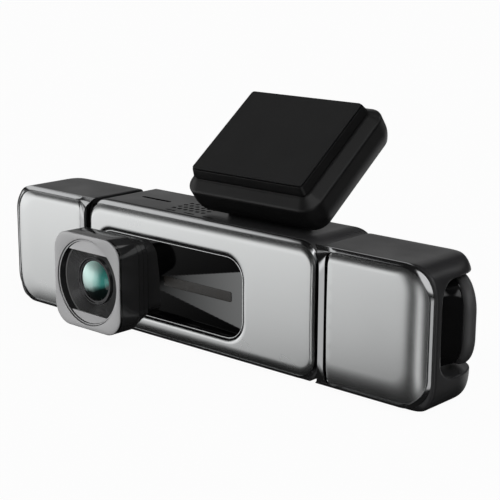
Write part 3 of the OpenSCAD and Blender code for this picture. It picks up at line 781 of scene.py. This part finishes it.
def pod_field(p):
    x, y, z = split(p)
    # rounding the two outlines into each other takes 1.25 mm off the end face, so it is added first
    end = POD_END + 1.25
    face = box2(x, z, 40, end, 0, POD_H, (1, 12, 12, 1))
    profile = box2(y, z, 2.5, 30.6, 0, POD_H, (4, 3, 3, 1))
    plan = box2(x, y, 40, end, -10, 30.6, (1, 1, 15, 1))
    d = both(both(face, plan, 5), profile, 1.2)
    d = both(d, -groove_field(x, z, 2.6), 0.8)
    hollow = np.maximum(np.maximum(50 - x, x - 66), np.maximum(np.maximum(4.5 - y, y - 27.6),
                                                               np.maximum(3 - z, z - 45)))
    d = both(d, -hollow, 0.6)
    pocket = column(x - SIDE.x, y - SIDE.y, z - SIDE.z, 17.0, 15.8, 5.0)
    pocket = both(pocket, box2(y, z, 4.4, 60, 11.2, 42.8, (9.5, 1, 1, 9.5)), 1.0)
    return both(d, -pocket, 0.7)


pod_skin = skin(pod_field, (53, 2, -0.5), (100.2, 31.3, 48.6), 0.5)


def arc(cx, cz, r, start, end, n=14):
    """Points round (cx, cz) from one angle to another, in degrees."""
    g = np.radians(np.linspace(start, end, n))
    return [(cx + r * math.cos(a), cz + r * math.sin(a)) for a in g]


def pod_loop(low, high, end, r_end, gap=None, inner=None, r_in=1.8):
    """Pod outline; its inner side is straight, or follows the centre section at a gap."""
    if gap is not None:
        r, x, top = CENTRE_R + gap, CENTRE_HALF - CENTRE_R, CENTRE_H - CENTRE_R
        corners = [arc(x, top, r, math.degrees(math.asin((high - top) / r)), 0),
                   arc(x, CENTRE_R, r, 0, -math.degrees(math.asin((CENTRE_R - low) / r)))]
    else:
        corners = [arc(inner + r_in, high - r_in, r_in, 90, 180),
                   arc(inner + r_in, low + r_in, r_in, 180, 270)]
    corners += [arc(end - r_end, low + r_end, r_end, 270, 360),
                arc(end - r_end, high - r_end, r_end, 0, 90)]
    points = []
    for i, c in enumerate(corners):
        nxt = np.array(corners[(i + 1) % 4][0])
        last = np.array(c[-1])
        points += [np.array(q) for q in c]
        points += [last + (nxt - last) * j / SIDE_STEPS for j in range(1, SIDE_STEPS)]
    return np.array(points)


def proud(points, y):
    """The inner strip of a pod frame stands forward and falls back at its upper and lower ends."""
    k = np.clip((61 - points[:, 0]) / 2.6, 0, 1)
    k = k * k * (3 - 2 * k)
    z = points[:, 1]
    ends = np.maximum(z - 43.6, 0) ** 2 * 0.17 + np.maximum(6.5 - z, 0) ** 2 * 0.12
    return y - k * 1.1 + k * np.minimum(ends, 1.5)


def fallen(points, y):
    """The frame falls back towards its outer end with the plate's edge."""
    k = np.clip((points[:, 0] - 88) / 9, 0, 1)
    return y + k * k * k * 0.76


def pod_frame_loop(inset, y, end):
    """Outer outline of a pod frame: front loops (y < 1) stand proud, the rearmost stays flat."""
    o = pod_loop(1.7 + inset, 47.9 - inset, end - inset * (end - 97.25) / 1.2, 10.8 - inset * 0.45,
                 gap=1.8 + 0.12 * inset)
    if y < 1:
        return o, fallen(o, proud(o, y))
    return o, fallen(o, y) if y < 2 else y


opening = pod_loop(3.0, 46.6, 97.15, 10.1, inner=58.45, r_in=1.7)
pod_rims = {}
for hand, end in (("right", 98.35), ("left", 99.4)):
    pod_rims[hand] = ring_piece(
        [(opening, 2.5)] + [pod_frame_loop(i, y, end) for i, y in ((0, 2.5), (0, 1.72), (0.06, 1.62),
                                                                   (1.14, 0.72), (1.2, 0.7))]
        + [(opening, fallen(opening, proud(opening, 0.74)))])
pod_edge = pod_loop(3.1, 46.5, 97.0, 10, inner=59.0, r_in=1.6)
pod_level = pod_loop(10.5, 43.4, 88.5, 4.5, inner=59.3, r_in=1.2)


def pod_crowned(points, y):
    """The plate rolls back further at the outer end of the pod."""
    end = np.clip((points[:, 0] - 86.5) / 10.5, 0, 1) ** 3 * 0.95
    return crowned(points, y + end * (y < 2.3))


loops = [(pod_edge, 2.4)] + roll(pod_level, pod_edge, 0, 0.62, 2.0, 14)[::-1]
v, f = ring_piece([pod_crowned(*q) for q in loops], False)
rear_face = tuple(range(len(pod_edge)))
pod_plate = together([(v, f + [rear_face]), filled(pod_crowned, pod_level)])


def drum_field(p):
    """Side camera's drum with rounded ends, and a block that carries the face."""
    x, y, z = into_side(p)
    d = column(x, y, z, 11.4, 15, 9)
    block = np.maximum(box2(x, z, -11.1, 11.1, -14.5, 14.5, 9.5), -y - 2)
    d = joined(d, block, 1.5)
    return both(d, y - 8.0, 0.8)


def bezel_field(p):
    """Side camera's bulging face with the lens well and four holes for the infrared LEDs."""
    x, y, z = into_side(p)
    d = both(box2(x, z, -12, 12, -15, 15, 11), np.maximum(8.05 - y, y - 12.5), 2.4)
    r = np.hypot(x, z)
    d = both(d, -np.maximum(r - 8, 9.5 - y), 0.5)
    for a in (-7, 7):
        for b in (-9.6, 9.6):
            d = both(d, -np.maximum(np.hypot(x - a, z - b) - 1.5, 10.5 - y), 0.3)
    return d


drum_skin = skin(drum_field, (73, 2.5, 11), (101, 30, 43), 0.45)
side_bezel_skin = skin(bezel_field, (78, 10, 11), (105, 36, 43), 0.4)

side_ring = rounded([(7.85, 9.55, 0), (7.85, 11.4, 0.15), (7.2, 11.4, 0.1), (6.6, 10.7, 0.1),
                     (5.3, 10.7, 0.1), (5.08, 10.4, 0), (5.08, 9.55, 0)])

# the rear part of the right frame's outer end is black
for hand in ("right", "left"):
    left = hand == "left"
    unit = hand + "_camera_unit"
    build(hand + "_pod_case", pod_skin[0], pod_skin[1], BAR, "deck_black", "deck",
          [hand + "_pod_housing"], normals=pod_skin[2], mirror=left)
    build(hand + "_pod_frame", *pod_rims[hand], BAR, "bright_trim", "chrome", [hand + "_pod_rim"],
          mirror=left, angle=25, second=("gloss", lambda c: c[1] > 2.45 and c[0] > 90))
    build(hand + "_pod_face_plate", *pod_plate, BAR, "satin_silver", "silver", [hand + "_pod_plate"],
          mirror=left)
    build(hand + "_swivel_drum", drum_skin[0], drum_skin[1], unit, "gloss_black", "gloss",
          [hand + "_camera_drum"], normals=drum_skin[2], mirror=left)
    build(hand + "_side_camera_face", side_bezel_skin[0], side_bezel_skin[1], unit, "side_black", "side",
          [hand + "_camera_bezel"], normals=side_bezel_skin[2], mirror=left)
    v, f = lathe(side_ring, at_side_lens)
    build(hand + "_side_lens_trim", v, f, unit, "lens_trim", "trim", [hand + "_lens_ring"], mirror=left)
    v, f = lathe(dome(5, 8, 10.6, 7.7), at_side_lens)
    build(hand + "_side_lens_dome", v, f, unit, "side_glass", "side_glass", [hand + "_lens_glass"],
          mirror=left)

# ---------------------------------------------------------------- mount

def pad_ring(grow, t, r):
    """The pad's outline, grown, at depth t under the pad's face."""
    half = PAD_W / 2 + grow
    return at_pad(flat(outline(-half, half, -grow, PAD_L + grow, r, side=3), -t))


def head_field(p):
    """Head of the mount: a square block with wide chamfers and a slot for the neck."""
    c, s = math.cos(PAD_TILT), math.sin(PAD_TILT)
    u, y, z = split(p - np.array(PAD))
    v, t = y * c + z * s, y * s - z * c
    # q is the distance outside the pad's outline, and t the depth under the pad's face
    q = box2(u, v, -PAD_W / 2, PAD_W / 2, 0, PAD_L, 1.6)
    d = both(q - 4.9, 4.05 - t, 0.3)
    d = both(d, ((q - 1.15) * 3.15 - (t - 4.05) * 3.75) / 4.9, 0.5)
    d = both(d, ((q - 4.9) * 4.2 + (t - 13.8) * 1.7) / 4.53, 0.8)
    d = both(d, t - 18, 1.2)
    half = NECK_W / 2 + 0.5
    slot = np.maximum(np.abs(u - (NECK_X - PAD.x)) - half,
                      np.maximum(np.abs(v - 6.5) - 6.9, 9.0 - t))
    return both(d, -slot, 0.3)


grown("mount_head_case", head_field, (-10, -3, 46), (52, 49, 92), 0.55, HEAD, "mount_black", "mount",
      ["mount_head"])

plate_line = rounded([(-0.5, 0.75, 0), (0.35, 0.75, 0.15), (1.1, 3.7, 0.15), (0.2, 3.7, 0),
                      (0.2, 4.05, 0)])
v, f = stack([pad_ring(g, t, 1.2 + 0.6 * max(g, 0)) for g, t in plate_line])
build("mount_pad_frame", v, f, HEAD, "mount_black", "mount", ["mount_pad_plate"])
foam_line = rounded([(-0.7, 0.75, 0), (-0.7, 0.5, 0.05), (0.0, 0.45, 0.05), (0.0, 0.0, 0.2),
                     (-1.0, 0.0, 0)])
v, f = stack([pad_ring(g, t, 1.0) for g, t in foam_line])
build("foam_pad", v, f, HEAD, "pad_foam", "foam", ["adhesive_pad"])

# ---------------------------------------------------------------- carried-over nodes

def dress(mat, *names):
    """Gives CAD nodes a material of their own."""
    for n in names:
        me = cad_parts[n].data
        me.materials.clear()
        me.materials.append(M[mat])


# the shell's vent holes get painted shade
dress("vented", "centre_shell")
dress("deck", "memory_card")
dress("rear", "rear_cover")
dress("screen", "display_glass")
dress("lcd", "display_panel")
dress("board", "main_board", "road_sensor_board", "right_sensor_board", "left_sensor_board")
dress("heat", "heat_spreader")
dress("sleeve", "supercapacitors")
dress("dark", "speaker", "road_lens_barrel")
dress("nickel", "microphone", "card_socket", "power_inlet")
dress("ceramic", "gnss_antenna")
dress("button", "power_button", "record_button")
dress("infra", "right_infrared_leds", "left_infrared_leds")
dress("side", "right_joint_collar", "left_joint_collar")
dress("steel", "rear_cover_screws", "right_swivel_pins", "left_swivel_pins", "mount_neck_screws",
      "hinge_pin")
dress("washer", "right_swivel_washers", "left_swivel_washers", "hinge_washers")
dress("mount", "mount_neck")

# ---------------------------------------------------------------- floor, light, camera

FLOOR_HALF = 6.0  # metres
floor_mesh = bpy.data.meshes.new("studio_floor")
floor_corners = [(x * FLOOR_HALF, y * FLOOR_HALF, 0) for x, y in ((-1, -1), (1, -1), (1, 1), (-1, 1))]
floor_mesh.from_pydata(floor_corners, [], [(0, 1, 2, 3)])
floor = bpy.data.objects.new("studio_floor", floor_mesh)
bpy.context.scene.collection.objects.link(floor)
pale = bpy.data.materials.new("pale_floor")
pale.use_nodes = True
t = pale.node_tree
shader = t.nodes["Principled BSDF"]
shader.inputs["Roughness"].default_value = 0.9
shader.inputs["Specular IOR Level"].default_value = 0.0
shader.inputs["Emission Strength"].default_value = 0.96
shader.inputs["Emission Color"].default_value = (1, 1, 1, 1)
grey = mixed(t, noise(t, own_coords(t), 3), (0.05, 0.05, 0.05), (0.06, 0.06, 0.06))
t.links.new(grey, shader.inputs["Base Color"])
floor_mesh.materials.append(pale)
floor.visible_glossy = False
floor.visible_diffuse = False

world = bpy.data.worlds.new("studio")
bpy.context.scene.world = world
world.use_nodes = True
sky = world.node_tree
sky.nodes.clear()
direction = node(sky, "ShaderNodeTexCoord").outputs["Generated"]


def dot(vector):
    n = node(sky, "ShaderNodeVectorMath", operation="DOT_PRODUCT")
    sky.links.new(direction, n.inputs[0])
    n.inputs[1].default_value = vector
    return n.outputs["Value"]


def card(azimuth, elevation, half_w, half_h, soft, power):
    """A soft-edged bright rectangle at infinity; angles in degrees, azimuth 0 is in front."""
    a, e = math.radians(azimuth), math.radians(elevation)
    n = Vector((math.sin(a) * math.cos(e), -math.cos(a) * math.cos(e), math.sin(e)))
    u = Vector((math.cos(a), math.sin(a), 0))
    depth = calc(sky, "MAXIMUM", dot(n), 0.001)
    s = math.tan(math.radians(soft))
    result = power
    for axis, half in ((u, half_w), (n.cross(u), half_h)):
        q = calc(sky, "ABSOLUTE", calc(sky, "DIVIDE", dot(axis), depth))
        edge = math.tan(math.radians(half))
        k = spread(sky, q, edge - s, edge + s, 1, 0)
        k.node.interpolation_type = "SMOOTHSTEP"
        result = calc(sky, "MULTIPLY", result, k)
    return result


AMBIENT = 0.02
CARDS = (
    # azimuth, elevation, half width, half height, softness, power
    (-62, -3, 33, 8, 5, 0.62),
    (-62, -11, 33, 13, 5, 1.08),
    (-74, 29, 20, 13, 3, 1.25),
    (40, 32, 22, 26, 3, 1.35),
    (54, -22, 13, 16, 3, 0.95),
    (-6, -16, 5, 12, 1.5, 1.5),
    (158, 42, 5, 14, 2, 2.0),
    (-170, 62, 40, 20, 10, 0.08),
    (-134, 4, 24, 26, 8, 0.44),
    (138, -12, 20, 16, 8, 0.06),
    (86, 44, 16, 12, 4, 1.6),
    (180, -14, 20, 12, 6, 0.8),
)
light = AMBIENT
for c in CARDS:
    light = calc(sky, "ADD", light, card(*c))

# the camera sees plain white where there is no floor; the cards only light the object
seen = node(sky, "ShaderNodeLightPath").outputs["Is Camera Ray"]
back = node(sky, "ShaderNodeBackground")
sky.links.new(light, back.inputs["Strength"])
white = node(sky, "ShaderNodeBackground", Strength=1.0)
white.inputs["Color"].default_value = (1, 1, 1, 1)
mix = node(sky, "ShaderNodeMixShader")
for socket, source in zip(mix.inputs, (seen, back.outputs[0], white.outputs[0])):
    sky.links.new(source, socket)
out = node(sky, "ShaderNodeOutputWorld")
sky.links.new(mix.outputs[0], out.inputs["Surface"])

# The photo's camera, solved from the object's straight edges: its axes, and its place in millimetres.
VIEW_RIGHT = (0.74192, 0.67056, 0.00475)
VIEW_UP = (-0.16224, 0.17263, 0.97161)
VIEW_BACK = (0.65063, -0.72154, 0.23684)
VIEW_PLACE = Vector((314.41, -319.31, 146.78))
FOCAL_PIXELS, PHOTO_PIXELS, SENSOR = 1338.31, 500, 36

cam_data = bpy.data.cameras.new("view")
cam_data.sensor_width = SENSOR
cam_data.lens = SENSOR * FOCAL_PIXELS / PHOTO_PIXELS
cam_data.clip_start = 0.01
cam = bpy.data.objects.new("view", cam_data)
bpy.context.scene.collection.objects.link(cam)
spot = VIEW_PLACE * MM + Vector((0, PLANE, 0))
cam.matrix_world = Matrix((*zip(VIEW_RIGHT, VIEW_UP, VIEW_BACK, spot), (0, 0, 0, 1)))
bpy.context.scene.camera = cam
bpy.context.scene.view_settings.view_transform = "Standard"
bpy.context.scene.view_settings.look = "None"
